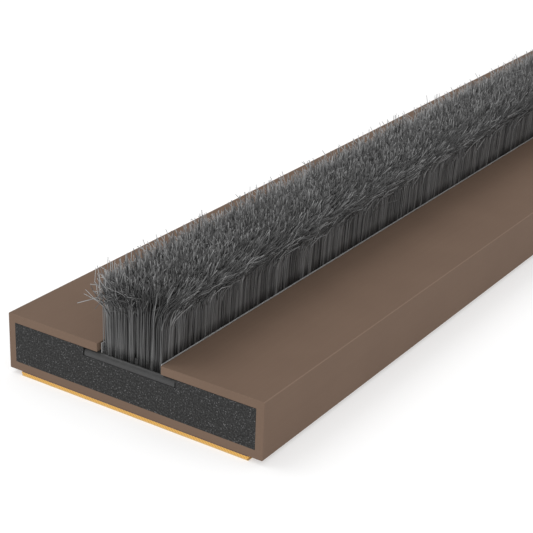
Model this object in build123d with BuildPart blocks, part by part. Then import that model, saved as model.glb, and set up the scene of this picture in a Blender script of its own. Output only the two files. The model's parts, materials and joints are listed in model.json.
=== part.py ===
"""Brush-pile door seal strip: a slotted channel with a graphite core, a brush insert and a tape.

Units are millimetres. X runs across the strip, Y along it and Z up, away from the surface that the
strip is stuck to. The origin is the centre of the release liner's underside.
"""

import os
from math import cos, radians, sin, tan

from build123d import *

# Driving dimensions
strip_length = 100.0
casing_width = 20.0
casing_height = 4.0
flat_wall = 0.6  # the channel's floor and its two lips
side_wall = 0.55
slot_width = 5.0
slot_offset = -0.1  # the slot and the recess under it sit slightly off centre
corner_radius = 0.06  # the channel's four long outer corners
lip_radius = 0.04  # the long edges of the slot
end_chamfer = 0.03  # the cut ends, on the outside only

liner_thickness = 0.04
lower_adhesive_thickness = 0.03
carrier_thickness = 0.21
upper_adhesive_thickness = 0.03
tape_width = 18.0
upper_adhesive_width = 17.8
carrier_bevel = 0.1  # the slanted lower edges of the tape

recess_width = 7.24
recess_depth = 0.56
backing_width = 7.08
backing_thickness = 0.5
backing_clearance = 0.01  # under the backing strip
backing_setback = 0.03  # behind the casing's cut ends
backing_end_radius = 0.3
pile_shift = 0.08  # the pile stands a little to the +X side of the backing strip's middle

film_thickness = 0.05
film_inner_half_gap = 2.33  # from the pile's middle to each film's inner face
film_proud = 0.02  # above the lips
film_setback = 0.2  # behind the casing's cut ends

pile_rows = 5
row_pitch = 0.94
root_radius = 0.34
hinge_above_lips = 0.24
row_length = 4.75  # from the hinge to the fibre tips
row_fan = 9.65  # degrees between neighbouring rows
row_half_angle = 4.9  # degrees by which each row widens towards its tips
pile_setback = 0.2
base_thickness = 0.4
base_setback = 0.3
base_half_width = 2.24

# Heights, from the liner's underside upwards
lower_adhesive_z = liner_thickness
carrier_z = lower_adhesive_z + lower_adhesive_thickness
upper_adhesive_z = carrier_z + carrier_thickness
casing_z = upper_adhesive_z + upper_adhesive_thickness
casing_top_z = casing_z + casing_height
lip_z = casing_top_z - flat_wall
recess_z = lip_z - recess_depth
backing_z = recess_z + backing_clearance
base_z = backing_z + backing_thickness
film_top_z = casing_top_z + film_proud
hinge_z = casing_top_z + hinge_above_lips

pile_x = slot_offset + pile_shift
cavity_width = casing_width - 2 * side_wall
cavity_height = casing_height - 2 * flat_wall

os.makedirs("parts", exist_ok=True)


# Casing: a C-channel that is open along its slot
with BuildPart() as casing:
    with BuildSketch(Plane.XZ) as casing_profile:
        with Locations((0, casing_z + casing_height / 2)):
            RectangleRounded(casing_width, casing_height, corner_radius)
            Rectangle(cavity_width, cavity_height, mode=Mode.SUBTRACT)
        with Locations((slot_offset, casing_top_z - flat_wall / 2)):
            Rectangle(slot_width, flat_wall, mode=Mode.SUBTRACT)
        lip_corners = casing_profile.vertices().filter_by(
            lambda corner: abs(corner.X - slot_offset) < slot_width / 2 + 0.01
        )
        fillet(lip_corners, lip_radius)
    extrude(amount=strip_length / 2, both=True)
    outer_end_edges = (
        casing.edges()
        .filter_by(lambda edge: abs(abs(edge.center().Y) - strip_length / 2) < 0.001)
        .filter_by(
            lambda edge: abs(edge.center().X) > cavity_width / 2 + 0.1
            or edge.center().Z > casing_top_z - 0.001
            or edge.center().Z < casing_z + 0.001
        )
    )
    chamfer(outer_end_edges, end_chamfer)
casing.part.label = "casing"
export_step(casing.part, "parts/casing.step")


# Core: fills the casing, with a recess in its top for the insert's backing strip
with BuildPart() as core:
    with BuildSketch(Plane.XZ):
        with Locations((0, casing_z + casing_height / 2)):
            Rectangle(cavity_width, cavity_height)
        with Locations((slot_offset, lip_z - recess_depth / 2)):
            Rectangle(recess_width, recess_depth, mode=Mode.SUBTRACT)
    extrude(amount=strip_length / 2, both=True)
core.part.label = "core"
export_step(core.part, "parts/core.step")


# Flat layers of the self-adhesive tape: name, underside, thickness, width
flat_layers = (
    ("release_liner", 0, liner_thickness, tape_width),
    ("lower_adhesive", lower_adhesive_z, lower_adhesive_thickness, tape_width - 2 * carrier_bevel),
    ("upper_adhesive", upper_adhesive_z, upper_adhesive_thickness, upper_adhesive_width),
)
for layer_name, layer_z, layer_thickness, layer_width in flat_layers:
    with BuildPart() as flat_layer:
        with BuildSketch(Plane.XY.offset(layer_z)):
            Rectangle(layer_width, strip_length)
        extrude(amount=layer_thickness)
    flat_layer.part.label = layer_name
    export_step(flat_layer.part, f"parts/{layer_name}.step")


# Tape carrier: its lower long edges are pressed to a slant
with BuildPart() as tape_carrier:
    with BuildSketch(Plane.XZ) as carrier_profile:
        with Locations((0, carrier_z + carrier_thickness / 2)):
            Rectangle(tape_width, carrier_thickness)
        chamfer(carrier_profile.vertices().group_by(Axis.Y)[0], carrier_bevel)
    extrude(amount=strip_length / 2, both=True)
tape_carrier.part.label = "tape_carrier"
export_step(tape_carrier.part, "parts/tape_carrier.step")


# Backing strip: the insert's foot lies in the recess, with rounded upper edges at its two ends
with BuildPart() as backing_strip:
    with BuildSketch(Plane.XY.offset(backing_z)):
        with Locations((slot_offset, 0)):
            Rectangle(backing_width, strip_length - 2 * backing_setback)
    extrude(amount=backing_thickness)
    end_top_edges = backing_strip.faces().sort_by(Axis.Z)[-1].edges().filter_by(Axis.X)
    fillet(end_top_edges, backing_end_radius)
backing_strip.part.label = "backing_strip"
export_step(backing_strip.part, "parts/backing_strip.step")


# Pile base: the bound band that holds the fibres' lower ends
with BuildPart() as pile_base:
    with BuildSketch(Plane.XY.offset(base_z)):
        with Locations((pile_x, 0)):
            Rectangle(2 * base_half_width, strip_length - 2 * base_setback)
    extrude(amount=base_thickness)
pile_base.part.label = "pile_base"
export_step(pile_base.part, "parts/pile_base.step")


# Side films: they stand on the backing strip, one on each side of the pile
for film_name, side in (("left_film", -1), ("right_film", 1)):
    with BuildPart() as film:
        with BuildSketch(Plane.XY.offset(base_z)):
            with Locations((pile_x + side * (film_inner_half_gap + film_thickness / 2), 0)):
                Rectangle(film_thickness, strip_length - 2 * film_setback)
        extrude(amount=film_top_z - base_z)
    film.part.label = film_name
    export_step(film.part, f"parts/{film_name}.step")


# Pile rows: each is a wedge that widens upwards from a round root, and the rows fan out
top_half_width = root_radius + row_length * tan(radians(row_half_angle))
for row in range(pile_rows):
    row_place = row - (pile_rows - 1) / 2
    lean = radians(row_place * row_fan)
    row_plane = Plane(
        origin=(pile_x + row_place * row_pitch, 0, hinge_z),
        x_dir=(cos(lean), 0, -sin(lean)),
        z_dir=(0, -1, 0),
    )
    with BuildPart() as pile_row:
        with BuildSketch(row_plane):
            with BuildLine():
                CenterArc((0, 0), root_radius, 0, 360)
                Line((-top_half_width, row_length), (top_half_width, row_length))
            make_hull()
        extrude(amount=strip_length / 2 - pile_setback, both=True)
    row_name = f"pile_row_{row + 1}"
    pile_row.part.label = row_name
    export_step(pile_row.part, f"parts/{row_name}.step")
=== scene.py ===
"""Looks of a brush-pile door seal strip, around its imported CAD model.

The casing, core, tape, backing strip and films keep their CAD shapes and get procedural materials.
The five solid pile rows are replaced by loose fibres, which bend from the insert towards their row.
Lengths are in metres, as in the frame, so sizes are written as a number of millimetres times MM.
"""

import json
import math

import bpy
import numpy as np
from mathutils import Matrix, Vector


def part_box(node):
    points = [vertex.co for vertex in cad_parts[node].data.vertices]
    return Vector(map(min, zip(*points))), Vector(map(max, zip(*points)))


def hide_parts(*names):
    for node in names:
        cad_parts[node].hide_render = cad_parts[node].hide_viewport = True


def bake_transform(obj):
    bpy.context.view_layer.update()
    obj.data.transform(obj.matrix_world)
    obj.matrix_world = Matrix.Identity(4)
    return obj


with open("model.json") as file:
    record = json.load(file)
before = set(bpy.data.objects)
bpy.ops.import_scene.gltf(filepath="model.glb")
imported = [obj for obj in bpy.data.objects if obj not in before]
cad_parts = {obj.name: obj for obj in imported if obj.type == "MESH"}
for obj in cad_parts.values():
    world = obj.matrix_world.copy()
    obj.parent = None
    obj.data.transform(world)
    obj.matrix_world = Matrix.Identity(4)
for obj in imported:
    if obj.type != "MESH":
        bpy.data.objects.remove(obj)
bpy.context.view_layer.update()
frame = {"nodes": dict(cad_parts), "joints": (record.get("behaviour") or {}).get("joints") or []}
MM = 0.001

casing_low, casing_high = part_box("casing")
base_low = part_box("pile_base")[0]
film_inner_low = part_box("left_film")[1].x
film_inner_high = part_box("right_film")[0].x
ROWS = 5
middle_row = "pile_row_3"
row_low, row_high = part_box(middle_row)
pile_low_y, pile_high_y, pile_top = row_low.y, row_high.y, row_high.z
hinged = [joint for joint in frame["joints"] if joint["type"] == "hinge"]
hinges = {joint["child"]: Vector(joint["pos_m"]) for joint in hinged}
hinge_height = hinges[middle_row].z


# ---------------------------------------------------------------- camera and light


def make_camera():
    """A long lens close to the near end, which looks along the strip from the right and above."""
    azimuth, elevation, roll = math.radians(32.521), math.radians(23.759), math.radians(2.197)
    distance = 82.53 * MM
    near_end = Vector((0, casing_low.y, casing_low.z))
    aim_offset = Vector((9.776, 0, 12.644)) * MM
    target = near_end + aim_offset
    back = Vector(
        (
            math.sin(azimuth) * math.cos(elevation),
            -math.cos(azimuth) * math.cos(elevation),
            math.sin(elevation),
        )
    )
    level = Vector((math.cos(azimuth), math.sin(azimuth), 0))
    upward = back.cross(level)
    right = math.cos(roll) * level + math.sin(roll) * upward
    up = math.cos(roll) * upward - math.sin(roll) * level
    turn = Matrix((right, up, back)).transposed().to_4x4()
    data = bpy.data.cameras.new("camera")
    data.lens = 99.35
    data.sensor_width = 36
    data.clip_start = 5 * MM
    data.clip_end = 10
    camera = bpy.data.objects.new("camera", data)
    camera.matrix_world = Matrix.Translation(target + distance * back) @ turn
    bpy.context.scene.collection.objects.link(camera)
    bpy.context.scene.camera = camera


def area_light(name, place, aim, size, power):
    """A square soft light; its place, its aim and its size are in millimetres."""
    data = bpy.data.lights.new(name, "AREA")
    data.size = size * MM
    data.energy = power
    light = bpy.data.objects.new(name, data)
    light.location = Vector(place) * MM
    toward = (Vector(aim) - Vector(place)) * MM
    light.rotation_mode = "QUATERNION"
    light.rotation_quaternion = toward.to_track_quat("-Z", "Y")
    bpy.context.scene.collection.objects.link(light)


def make_light():
    """An even surround, with a large soft light over the left side and one low at the right front."""
    world = bpy.data.worlds.new("surround")
    world.use_nodes = True
    background = world.node_tree.nodes["Background"]
    background.inputs["Color"].default_value = (1, 1, 1, 1)
    background.inputs["Strength"].default_value = 0.70
    bpy.context.scene.world = world
    bpy.context.scene.view_settings.view_transform = "Standard"
    aim = (0, -20, 0)
    area_light("left_light", place=(-175, -70, 295), aim=aim, size=220, power=0.34)
    area_light("right_light", place=(125, -310, 150), aim=aim, size=220, power=0.38)


def make_floor():
    """A plain pale floor, just below the strip."""
    half_side = 2.0
    drop = 0.02 * MM
    quarters = [(-1, -1), (1, -1), (1, 1), (-1, 1)]
    corners = [(x * half_side, y * half_side, -drop) for x, y in quarters]
    mesh = bpy.data.meshes.new("floor")
    mesh.from_pydata(corners, [], [(0, 1, 2, 3)])
    floor = bpy.data.objects.new("floor", mesh)
    bpy.context.scene.collection.objects.link(floor)
    look = Look("floor", roughness=0.9)
    look.set("Base Color", (0.60, 0.60, 0.60, 1))
    look.set("Specular IOR Level", 0.0)
    look.set("Emission Color", (1, 1, 1, 1))
    look.set("Emission Strength", 0.45)
    mesh.materials.append(look.material)


# ---------------------------------------------------------------- materials


class Look:
    """A node material, with short calls for the textures used here, which are sized in millimetres."""

    def __init__(self, name, roughness):
        self.material = bpy.data.materials.new(name)
        self.material.use_nodes = True
        self.tree = self.material.node_tree
        self.shader = self.tree.nodes["Principled BSDF"]
        self.set("Roughness", roughness)

    def set(self, socket, value):
        self.shader.inputs[socket].default_value = value

    def node(self, kind, **settings):
        made = self.tree.nodes.new("ShaderNode" + kind)
        for key, value in settings.items():
            setattr(made, key, value)
        return made

    def link(self, source, target):
        self.tree.links.new(source, target)

    def place(self, stretch=(1, 1, 1), turn=(0, 0, 0)):
        """Object coordinates in millimetres, multiplied by stretch along each axis."""
        coordinates = self.node("TexCoord")
        mapping = self.node("Mapping")
        mapping.inputs["Scale"].default_value = [part / MM for part in stretch]
        mapping.inputs["Rotation"].default_value = turn
        self.link(coordinates.outputs["Object"], mapping.inputs["Vector"])
        return mapping.outputs["Vector"]

    def noise(self, place, per_mm, detail=2.0, roughness=0.5):
        made = self.node("TexNoise")
        made.inputs["Scale"].default_value = per_mm
        made.inputs["Detail"].default_value = detail
        made.inputs["Roughness"].default_value = roughness
        self.link(place, made.inputs["Vector"])
        return made.outputs["Fac"]

    def cells(self, place, per_mm, output="Distance"):
        made = self.node("TexVoronoi")
        made.inputs["Scale"].default_value = per_mm
        self.link(place, made.inputs["Vector"])
        return made.outputs[output]

    def ramp(self, value, stops):
        """Colours against value: stops are (position, grey or (r, g, b))."""
        made = self.node("ValToRGB")
        elements = made.color_ramp.elements
        while len(elements) < len(stops):
            elements.new(0.5)
        for element, (position, colour) in zip(elements, stops):
            element.position = position
            rgb = colour if isinstance(colour, tuple) else (colour,) * 3
            element.color = (*rgb, 1)
        self.link(value, made.inputs["Fac"])
        return made.outputs["Color"]

    def math(self, operation, first, second):
        made = self.node("Math", operation=operation)
        for socket, value in zip(made.inputs, (first, second)):
            if isinstance(value, (int, float)):
                socket.default_value = value
            else:
                self.link(value, socket)
        return made.outputs[0]

    def mix(self, first, second, share, blend="MIX"):
        """Two colours mixed. Of the node's many sockets, a colour mix uses the ones numbered here."""
        made = self.node("Mix", data_type="RGBA", blend_type=blend)
        sockets = [made.inputs[number] for number in (0, 6, 7)]
        for socket, value in zip(sockets, (share, first, second)):
            if isinstance(value, (int, float)):
                socket.default_value = value
            elif isinstance(value, tuple):
                socket.default_value = (*value, 1)
            else:
                self.link(value, socket)
        return made.outputs[2]

    def multiply(self, first, second):
        return self.mix(first, second, 1.0, blend="MULTIPLY")

    def attribute(self, name):
        made = self.node("Attribute", attribute_name=name)
        return made.outputs["Fac"]

    def colour(self, value):
        self.link(value, self.shader.inputs["Base Color"])

    def rough(self, value):
        self.link(value, self.shader.inputs["Roughness"])

    def bump(self, height, depth_mm, strength=1.0):
        made = self.node("Bump")
        made.inputs["Distance"].default_value = depth_mm * MM
        made.inputs["Strength"].default_value = strength
        self.link(height, made.inputs["Height"])
        self.link(made.outputs["Normal"], self.shader.inputs["Normal"])


EDGE_HIGHLIGHT_REACH = 0.07  # how far the painted highlight along the casing's long top corners reaches on each face, in millimetres


def casing_look():
    """Brown rigid plastic: faint extrusion lines along Y, a satin grain, mottling and a painted highlight
    along its long top corners.
    """
    look = Look("casing_plastic", roughness=0.5)
    look.set("Specular IOR Level", 0.02)
    mottle = look.noise(look.place(), 0.25, detail=3)
    streaks = look.noise(look.place((1, 0.01, 1)), 6, detail=2)
    shade = look.mix(mottle, streaks, 0.35)
    plastic = look.ramp(shade, [(0.3, (0.163, 0.111, 0.082)), (0.7, (0.177, 0.121, 0.089))])
    # Painted highlight: the casing is a paler brown where its sides meet its top, all along the strip.
    position = look.node("SeparateXYZ")
    look.link(look.place(), position.inputs[0])
    off_centre = look.math("ABSOLUTE", position.outputs["X"], 0)
    past_side = look.math("SUBTRACT", off_centre, casing_high.x / MM - EDGE_HIGHLIGHT_REACH)
    past_top = look.math("SUBTRACT", position.outputs["Z"], casing_high.z / MM - EDGE_HIGHLIGHT_REACH)
    painted_edge_highlight = look.ramp(look.math("MINIMUM", past_side, past_top), [(0.005, 0.0), (0.03, 0.7)])
    look.colour(look.mix(plastic, (0.235, 0.165, 0.125), painted_edge_highlight))
    grain = look.noise(look.place(), 14, detail=3, roughness=0.6)
    look.rough(look.ramp(grain, [(0.3, 0.46), (0.7, 0.56)]))
    look.bump(look.mix(grain, streaks, 0.3), 0.004)
    return look.material


def core_look():
    """Pressed graphite: a dark grey ground with fine grains and scattered pale specks."""
    look = Look("graphite_core", roughness=0.6)
    look.set("Specular IOR Level", 0.15)
    place = look.place()
    grains = look.noise(place, 8, detail=4, roughness=0.75)
    ground = look.ramp(grains, [(0.36, 0.010), (0.50, 0.024), (0.66, 0.060)])
    speck_shape = look.ramp(look.cells(place, 8.5), [(0.06, 1.0), (0.38, 0.0)])
    speck_strength = look.ramp(look.cells(place, 8.5, output="Color"), [(0.45, 0.0), (0.95, 1.0)])
    clusters = look.ramp(look.noise(place, 1.6, detail=2), [(0.35, 0.35), (0.62, 1.0)])
    specks = look.math("MULTIPLY", look.math("MULTIPLY", speck_shape, speck_strength), clusters)
    look.colour(look.mix(ground, (0.25, 0.25, 0.255), specks))
    look.rough(look.ramp(grains, [(0.3, 0.45), (0.7, 0.75)]))
    look.bump(grains, 0.03, strength=0.5)
    return look.material


def backing_look():
    """Smooth dark plastic with faint lines along the strip."""
    look = Look("backing_plastic", roughness=0.42)
    lines = look.noise(look.place((1, 0.02, 1)), 5, detail=2)
    look.colour(look.ramp(lines, [(0.3, 0.026), (0.7, 0.036)]))
    look.rough(look.ramp(lines, [(0.3, 0.36), (0.7, 0.48)]))
    look.bump(lines, 0.004)
    return look.material


def film_look(name, dark, pale):
    """Thin clear-grey film with a faint haze."""
    look = Look(name, roughness=0.28)
    haze = look.noise(look.place((1, 0.1, 1)), 3, detail=2)
    look.colour(look.ramp(haze, [(0.3, dark), (0.7, pale)]))
    look.set("Transmission Weight", 0.25)
    look.set("IOR", 1.49)
    look.bump(haze, 0.004)
    return look.material


def tape_look():
    """Amber tape whose woven threads show on its edges as a fine diagonal hatch."""
    look = Look("tape_amber", roughness=0.45)
    hatch = look.node("TexWave", wave_type="BANDS", bands_direction="X")
    hatch.inputs["Scale"].default_value = 2.2
    hatch.inputs["Distortion"].default_value = 0.3
    hatch.inputs["Detail"].default_value = 1.0
    look.link(look.place(turn=(0, math.radians(45), math.radians(30))), hatch.inputs["Vector"])
    threads = hatch.outputs["Fac"]
    look.set("Specular IOR Level", 0.2)
    look.colour(look.ramp(threads, [(0.15, (0.56, 0.305, 0.070)), (0.75, (0.72, 0.41, 0.105))]))
    look.bump(threads, 0.01, strength=0.5)
    return look.material


def adhesive_look(name, dark, pale):
    """Tacky adhesive with small bubbles."""
    look = Look(name, roughness=0.25)
    bubbles = look.cells(look.place(), 3)
    look.colour(look.ramp(bubbles, [(0.05, pale), (0.5, dark)]))
    look.bump(bubbles, 0.01)
    return look.material


def liner_look():
    """Smooth siliconed release film with faint waves."""
    look = Look("liner_film", roughness=0.3)
    waves = look.noise(look.place((1, 0.3, 1)), 0.4, detail=2)
    look.colour(look.ramp(waves, [(0.3, (0.62, 0.45, 0.22)), (0.7, (0.72, 0.54, 0.29))]))
    look.bump(waves, 0.02)
    return look.material


def base_look():
    """Dark bound fibre ends, in lines along the strip."""
    look = Look("pile_base_fibre", roughness=0.8)
    threads = look.noise(look.place((4, 0.3, 1)), 3, detail=2)
    look.colour(look.ramp(threads, [(0.3, 0.014), (0.7, 0.035)]))
    look.bump(threads, 0.04)
    return look.material


def fibre_look():
    """Grey synthetic fibre. Each has its own random tone, and the tones differ most above the bend.

    There is painted shade at a fibre's foot, on its lower part at the cut ends and, inside the pile, a
    little below its tip. Its attributes come from fibre_values; the tone among them also holds painted
    light and shade.
    """
    look = Look("pile_fibre", roughness=0.42)
    tone_and_painted_light, reach = look.attribute("tone_and_painted_light"), look.attribute("reach")
    lower = look.ramp(tone_and_painted_light, [(0.0, 0.050), (0.5, 0.128), (1.0, 0.19)])
    upper = look.ramp(tone_and_painted_light, [(0.0, 0.028), (0.5, 0.094), (1.0, 0.38)])
    # Painted shade: the lower part of a fibre is darker at the cut ends.
    lower = look.multiply(lower, look.ramp(look.attribute("end"), [(0.0, 1.0), (1.0, 0.86)]))
    shade = look.mix(lower, upper, look.ramp(reach, [(0.2, 0.0), (0.6, 1.0)]))
    # Painted shade at a fibre's foot, just above the casing, which the paler fibres mostly escape.
    foot = look.ramp(look.attribute("rise"), [(0.0, 0.10), (0.35, 0.35), (0.9, 1.0)])
    foot = look.mix(foot, (1.0, 1.0, 1.0), look.ramp(tone_and_painted_light, [(0.5, 0.0), (0.8, 0.7)]))
    # Painted shade inside the pile, a little below the tips.
    painted_hollow_shade = look.ramp(reach, [(0.45, 1.0), (0.7, 0.45), (0.95, 1.0)])
    painted_hollow_shade = look.mix((1.0, 1.0, 1.0), painted_hollow_shade, look.attribute("inside"))
    look.colour(look.multiply(shade, look.multiply(foot, painted_hollow_shade)))
    look.set("Specular IOR Level", 0.5)
    return look.material


def dress_cad_nodes():
    """Give every CAD node that stays visible its own look."""
    looks = {
        "casing": casing_look(),
        "core": core_look(),
        # The upper adhesive is darker than the lower one: partly its own colour, partly painted shade
        # under the casing's edge.
        "upper_adhesive": adhesive_look("upper_adhesive", (0.13, 0.09, 0.08), (0.20, 0.14, 0.12)),
        "tape_carrier": tape_look(),
        "lower_adhesive": adhesive_look("lower_adhesive", (0.50, 0.31, 0.11), (0.66, 0.45, 0.20)),
        "release_liner": liner_look(),
        "backing_strip": backing_look(),
        "pile_base": base_look(),
        # Both films are the same clear-grey film; the right one's paler colour is a painted highlight
        # along the right lip's inner edge.
        "left_film": film_look("left_film", 0.27, 0.33),
        "right_film": film_look("right_film", 0.50, 0.60),
    }
    for node, material in looks.items():
        frame["nodes"][node].material_slots[0].material = material


# ---------------------------------------------------------------- the brush pile

PIECES_PER_ROW = 3  # one after the other along the strip
FIBRES_PER_PIECE = 4140
FIBRE_RADIUS = 0.041 * MM
RADIUS_RANGE = (0.75, 1.2)  # thinnest and thickest fibre, over that radius
SIDES = 3
TIP_SHARE = 0.6  # the tip's radius over the root's
UPPER_STATIONS = (0.0, 0.15, 0.36, 0.66, 1.0)  # along a fibre's bent upper part
REACH = (0.0, 0.05, 0.2, 0.4, 0.6, 0.8, 1.0)  # how far out each ring counts, for taper and colour

# Where the fibres stand: an exponential depth packs some of them into the pile's faces.
FACE_DEPTH = 0.05 * MM
SIDE_FACE_SHARE = 0.16  # of the last row's fibres, how many stand in the pile's right face
END_FACE_SHARE = 0.003  # of a piece's fibres, how many stand in an end face, if it has one
LEFT_CROWDED_SHARE = 0.85  # of the first row's fibres, how many crowd away from the left side
END_DEPTH = 0.9 * MM  # how far in from a cut end the fibres fan out

# How far the tips lean, in degrees.
FAN = 16  # outwards, at either side of the pile
LEFT_FAN = 20  # and this much more at the far left
TUFT_LEAN = 8  # shared by the fibres of a tuft
COMBED_LEAN = 68  # along the strip, where the right side is brushed
END_FAN = 30  # outwards at both cut ends
NEAR_FAN, NEAR_LEFT_FAN = 26, 16  # sideways at the near end, and to the left at its left corner
LEAN_SPREAD = 24  # of each fibre from its tuft
COMBED_CALM = 0.45  # how much less the brushed fibres spread, as a share
CURL, CURL_SHARE, CURL_SIDE = 40, 0.10, -0.85  # a few at the far left lie over much further
MOST_LEAN, MOST_BEND = 84, 100  # caps on a fibre's lean, and on the bend of any one step

# Lengths, as shares of the pile's full height.
USUAL_LENGTH, MOST_LENGTH = 0.935, 1.02
LENGTH_SPREAD, TUFT_LENGTH, LEFT_SHORTFALL = 0.04, 0.014, 0.04
STRAY_SHARE, FRINGE_STRAY_SHARE = 0.012, 0.5  # how many stand out longer, all over and at the left
STRAY_LENGTH = (0.15, 0.6)  # how much longer, in millimetres, before the fringe's own factor
STRAY_LEAN = 0.6  # a stray's lean over its neighbours'

# Bends, as shares of a fibre's length or of its upper part.
STRAIGHT, COMBED_LESS, FRINGE_LESS, STRAIGHT_SPREAD = 0.62, 0.07, 0.12, 0.07
BEND_DONE, FRINGE_BEND = 0.75, 0.3  # where the full lean is reached, and how much later at the left
FOOT_TILT, FOOT_FAN = 0.015, 0.02  # sideways over upwards, below the bend
WANDER = 0.25  # radians by which each step strays from a smooth bend
FRINGE_WANDER = 0.5  # how much more at the left
TIP_WANDER, COURSE_WANDER = 1.8, 1.5  # factors on it, at the tips and on the way that a step heads

# Tones, from 0, dark, to 1, pale.
TUFT_TONE, TONE_SPREAD = 0.11, 0.22
# Painted light: how much paler the fibres are towards the pile's left side, and more at its far left.
LEFT_PAINTED_LIGHT, FAR_LEFT_PAINTED_LIGHT = 0.13, 0.4
# Painted shade: how much darker the fibres are on the brushed right side, and at the cut ends.
COMBED_PAINTED_SHADE, END_PAINTED_SHADE = 0.08, 0.3

rng = np.random.default_rng(20)


class Drift:
    """A smooth random field over the strip that groups fibres into tufts. Its spread is about 1."""

    def __init__(self, wavelength, waves=8):
        heading = rng.uniform(0, 2 * np.pi, waves)
        pace = 2 * np.pi / (wavelength * rng.uniform(0.7, 1.6, waves))
        self.kx, self.ky = pace * np.cos(heading), pace * np.sin(heading)
        self.phase = rng.uniform(0, 2 * np.pi, waves)
        self.level = math.sqrt(2 / waves)

    def at(self, x, y):
        angle = np.outer(x, self.kx) + np.outer(y, self.ky) + self.phase
        return np.sin(angle).sum(1) * self.level


tuft_lean_x, tuft_lean_y = Drift(0.7 * MM), Drift(0.7 * MM)
tuft_height, tuft_tone = Drift(1.6 * MM), Drift(0.6 * MM)


def smooth(low, high, value):
    """0 at low and before it, 1 at high and past it, with an even step between. low may be the larger."""
    share = np.clip((value - low) / (high - low), 0, 1)
    return share * share * (3 - 2 * share)


def across_pile(x):
    """-1 at the pile's left side, 0 in its middle and 1 at its right side."""
    return (2 * x - film_inner_low - film_inner_high) / (film_inner_high - film_inner_low)


def combed_share(side):
    """0 to 1: how much a fibre belongs to the right side, which is brushed along the strip."""
    return smooth(0.1, 0.85, side)


def fringe_share(side):
    """0 to 1: how much a fibre belongs to the left side, which is loose and uneven."""
    return smooth(-0.3, -0.85, side)


def lean_angles(x, y):
    """How far each fibre's tip leans across and along the strip, in degrees."""
    count = len(x)
    side = across_pile(x)
    near = 1 - smooth(0, END_DEPTH, y - pile_low_y)
    far = 1 - smooth(0, END_DEPTH, pile_high_y - y)
    combed = combed_share(side)
    loose = 1 - COMBED_CALM * combed
    across = FAN * side - LEFT_FAN * smooth(-0.5, -1, side)
    across += loose * TUFT_LEAN * tuft_lean_x.at(x, y)
    along = loose * TUFT_LEAN * tuft_lean_y.at(x, y) + COMBED_LEAN * combed
    along -= END_FAN * near * smooth(-1, -0.2, side)
    along += END_FAN * far
    own_lean = loose * rng.normal(0, LEAN_SPREAD, count)
    across += own_lean - NEAR_FAN * near * (0.4 - side) * smooth(-1, -0.3, side)
    along += loose * rng.normal(0, LEAN_SPREAD, count)
    curl = (side < CURL_SIDE) * (rng.random(count) < CURL_SHARE)
    return across - CURL * curl - NEAR_LEFT_FAN * near * smooth(-0.5, -1, side), along


def fibre_lengths(x, y, stray):
    """Each fibre's whole length, and how much of it stands straight on the base."""
    count = len(x)
    side = across_pile(x)
    fringe = fringe_share(side)
    share = USUAL_LENGTH + rng.normal(0, LENGTH_SPREAD, count) + TUFT_LENGTH * tuft_height.at(x, y)
    share -= LEFT_SHORTFALL * smooth(-0.2, -1, side)
    extra = stray * (0.5 + fringe) * rng.uniform(*STRAY_LENGTH, count) * MM
    length = (pile_top - base_low.z) * np.minimum(share, MOST_LENGTH) + extra
    less = COMBED_LESS * combed_share(side)
    straight = STRAIGHT - less - FRINGE_LESS * fringe + rng.normal(0, STRAIGHT_SPREAD, count)
    return length, length * straight


def fibre_lines(x, y):
    """Centre lines, one row of points per fibre: up straight from the base, then bent to the lean.

    The second point is at the height where the rows hinge, so a leaning row clears the casing's lips.
    """
    count = len(x)
    across, along = lean_angles(x, y)
    side = across_pile(x)
    fringe = fringe_share(side)
    stray = rng.random(count) < STRAY_SHARE + FRINGE_STRAY_SHARE * fringe
    lean = np.radians(np.clip(np.hypot(across, along), 0, MOST_LEAN))
    lean = np.where(stray, STRAY_LEAN * lean, lean)
    heading = np.arctan2(along, across)
    length, straight = fibre_lengths(x, y, stray)
    foot_tilt = rng.normal(0, FOOT_TILT, (2, count))
    foot_tilt[0] += FOOT_FAN * side
    root = np.column_stack([x, y, np.full(count, base_low.z)])
    rise = np.column_stack([*foot_tilt, np.ones(count)])
    points = [root, root + (hinge_height - base_low.z) * rise, root + straight[:, None] * rise]
    upper = length - straight
    wander = rng.normal(0, WANDER, (len(UPPER_STATIONS), count)) * (1 + FRINGE_WANDER * fringe)
    wander[-1] *= TIP_WANDER
    for k in range(1, len(UPPER_STATIONS)):
        first, last = UPPER_STATIONS[k - 1], UPPER_STATIONS[k]
        turned = np.minimum(1, (first + last) / 2 / (BEND_DONE + FRINGE_BEND * fringe))
        course = heading + wander[k] * COURSE_WANDER
        angle = np.clip(lean * turned + wander[k] * turned, 0, math.radians(MOST_BEND))
        step = (upper * (last - first))[:, None]
        flat = np.sin(angle)
        heads = np.column_stack([flat * np.cos(course), flat * np.sin(course), np.cos(angle)])
        points.append(points[-1] + step * heads)
    return np.stack(points, 1)


def fibre_rings(lines):
    """Corner points round each centre line, ring by ring."""
    count = len(lines)
    steps = np.diff(lines, axis=1)
    steps /= np.linalg.norm(steps, axis=2, keepdims=True)
    heads = np.concatenate([steps[:, :1], steps[:, :-1] + steps[:, 1:], steps[:, -1:]], 1)
    heads /= np.linalg.norm(heads, axis=2, keepdims=True)
    spin = rng.uniform(0, 2 * np.pi, count)
    aside = np.stack([np.cos(spin), np.sin(spin), np.zeros(count)], 1)[:, None, :]
    first = np.cross(heads, aside)
    first /= np.linalg.norm(first, axis=2, keepdims=True)
    second = np.cross(heads, first)
    taper = (1 - (1 - TIP_SHARE) * np.array(REACH))[None, :, None]
    radius = FIBRE_RADIUS * rng.uniform(*RADIUS_RANGE, count)[:, None, None] * taper
    corners = []
    for side in range(SIDES):
        angle = 2 * math.pi * side / SIDES
        corners.append(lines + radius * (math.cos(angle) * first + math.sin(angle) * second))
    return np.stack(corners, 2)


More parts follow.
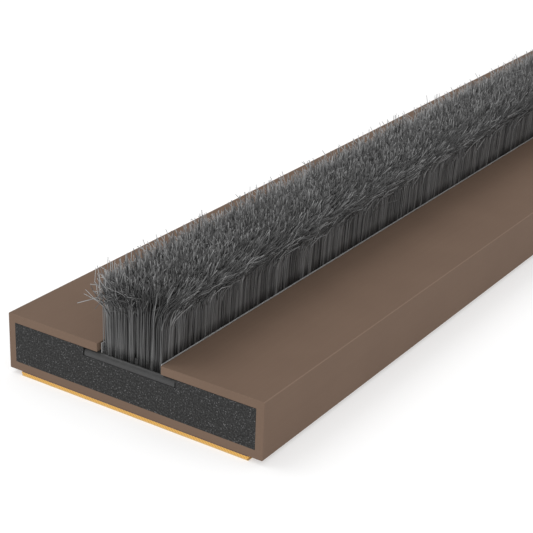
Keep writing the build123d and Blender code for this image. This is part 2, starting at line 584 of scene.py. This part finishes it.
def fibre_faces(count, stations):
    """Side faces and both end faces of every fibre."""
    start = np.arange(count)[:, None] * stations * SIDES
    quads = []
    for ring in range(stations - 1):
        for side in range(SIDES):
            a, b = ring * SIDES + side, ring * SIDES + (side + 1) % SIDES
            quads.append(start + np.array([[a, b, b + SIDES, a + SIDES]]))
    foot = start + np.arange(SIDES)[None, ::-1]
    top = start + (stations - 1) * SIDES + np.arange(SIDES)[None, :]
    return np.concatenate(quads).tolist() + foot.tolist() + top.tolist()


def fibre_feet(row, piece):
    """Where a piece's fibres stand.

    They stand evenly, but closer together in the pile's end and right faces, and sparsely at its left.
    Every piece makes the same random draws, whether or not it has such a face.
    """
    pitch = (film_inner_high - film_inner_low) / ROWS
    low_x = film_inner_low + pitch * (row - 1)
    span = (pile_high_y - pile_low_y) / PIECES_PER_ROW
    low_y = pile_low_y + span * piece
    x = rng.uniform(low_x, low_x + pitch, FIBRES_PER_PIECE)
    y = rng.uniform(low_y, low_y + span, FIBRES_PER_PIECE)
    depth = rng.exponential(FACE_DEPTH, FIBRES_PER_PIECE)
    in_end = rng.random(FIBRES_PER_PIECE) < END_FACE_SHARE
    in_side = ~in_end & (rng.random(FIBRES_PER_PIECE) < SIDE_FACE_SHARE)
    if piece == 0:
        y = np.where(in_end, pile_low_y + depth, y)
    if piece == PIECES_PER_ROW - 1:
        y = np.where(in_end, pile_high_y - depth, y)
    if row == 1:
        crowded = rng.random(FIBRES_PER_PIECE) < LEFT_CROWDED_SHARE
        x = np.where(crowded, low_x + pitch * np.cbrt((x - low_x) / pitch), x)
    if row == ROWS:
        x = np.where(in_side, film_inner_high - depth, x)
    return np.clip(x, film_inner_low + FIBRE_RADIUS, film_inner_high - FIBRE_RADIUS), y


def fibre_values(x, y, lines):
    """What the fibre material reads at every corner point.

    tone_and_painted_light is the fibre's own random tone plus painted light at the pile's left side and
    painted shade on its brushed right side and at the cut ends, reach runs from its root to its tip, rise
    is its height above the casing, or above the base in an end face, end is 1 at the cut ends, and inside
    is 0 in the end and right faces and 1 behind them.
    """
    count, stations = lines.shape[:2]
    side = across_pile(x)
    to_end = np.minimum(y - pile_low_y, pile_high_y - y)
    end = 1 - smooth(0.1 * MM, END_DEPTH, to_end)
    inside = smooth(0.05 * MM, 0.35 * MM, np.minimum(to_end, film_inner_high - x))
    tone_and_painted_light = 0.5 + TUFT_TONE * tuft_tone.at(x, y) + rng.normal(0, TONE_SPREAD, count)
    # Painted light makes the fibres at the left side paler; painted shade darkens the brushed right side
    # and, at the cut ends, all but the left part of the pile.
    tone_and_painted_light += LEFT_PAINTED_LIGHT * smooth(0, -0.7, side) + FAR_LEFT_PAINTED_LIGHT * smooth(-0.65, -0.95, side)
    tone_and_painted_light -= COMBED_PAINTED_SHADE * combed_share(side) + END_PAINTED_SHADE * end * smooth(-0.4, 0.4, side)
    bottom = np.where(to_end < 0.2 * MM, base_low.z, casing_high.z)
    rise = (lines[:, :, 2] - bottom[:, None]) / MM
    corners = stations * SIDES
    return {
        "tone_and_painted_light": np.repeat(np.clip(tone_and_painted_light, 0, 1), corners),
        "reach": np.tile(np.repeat(REACH, SIDES), count),
        "rise": np.repeat(rise, SIDES),
        "end": np.repeat(end, corners),
        "inside": np.repeat(inside, corners),
    }


def make_fibres(row, piece, material):
    """Part of one row's loose fibres: they bend between the insert and the row's hinge body."""
    node = f"pile_row_{row}"
    name = f"pile_fibres_{row}_{piece + 1}"
    x, y = fibre_feet(row, piece)
    lines = fibre_lines(x, y)
    rings = fibre_rings(lines)
    mesh = bpy.data.meshes.new(name)
    mesh.from_pydata(rings.reshape(-1, 3).tolist(), [], fibre_faces(*lines.shape[:2]))
    for kind, value in fibre_values(x, y, lines).items():
        attribute = mesh.attributes.new(kind, "FLOAT", "POINT")
        attribute.data.foreach_set("value", value.astype(np.float32))
    mesh.shade_smooth()
    mesh.materials.append(material)
    fibres = bpy.data.objects.new(name, mesh)
    bpy.context.scene.collection.objects.link(fibres)
    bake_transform(fibres)
    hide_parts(node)


# ---------------------------------------------------------------- the scene

make_camera()
make_light()
make_floor()
dress_cad_nodes()
fibre_material = fibre_look()
for row_number in range(1, ROWS + 1):
    for piece_number in range(PIECES_PER_ROW):
        make_fibres(row_number, piece_number, fibre_material)
